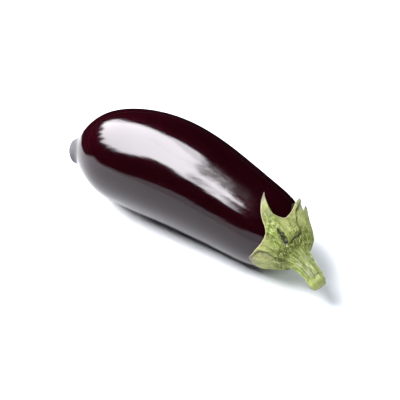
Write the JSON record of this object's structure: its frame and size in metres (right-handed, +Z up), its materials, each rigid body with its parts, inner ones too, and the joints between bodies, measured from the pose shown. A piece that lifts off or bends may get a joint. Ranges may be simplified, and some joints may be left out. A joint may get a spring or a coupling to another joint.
{
  "type": "eggplant",
  "caption": "Whole eggplant lying on its side: a bowed, glossy dark fruit with a green lobed calyx that narrows into a ridged, drooping cut stem.",
  "frame": {"origin": "middle of the small flat that the fruit rests on, on the surface it lies on", "axes": "+X along the fruit from the blossom end towards the stem, +Z up from the surface, +Y to the side that the fruit bows towards"},
  "size_m": [0.2239, 0.0762, 0.0756],
  "materials": {
    "aubergine_skin": "smooth, waxy and very glossy, blackish purple",
    "calyx_green": "matte, fibrous yellow-green with dry brown tips"
  },
  "bodies": {
    "root": {"fruit": "aubergine_skin", "calyx_and_stem": "calyx_green"}
  },
  "joints": []
}
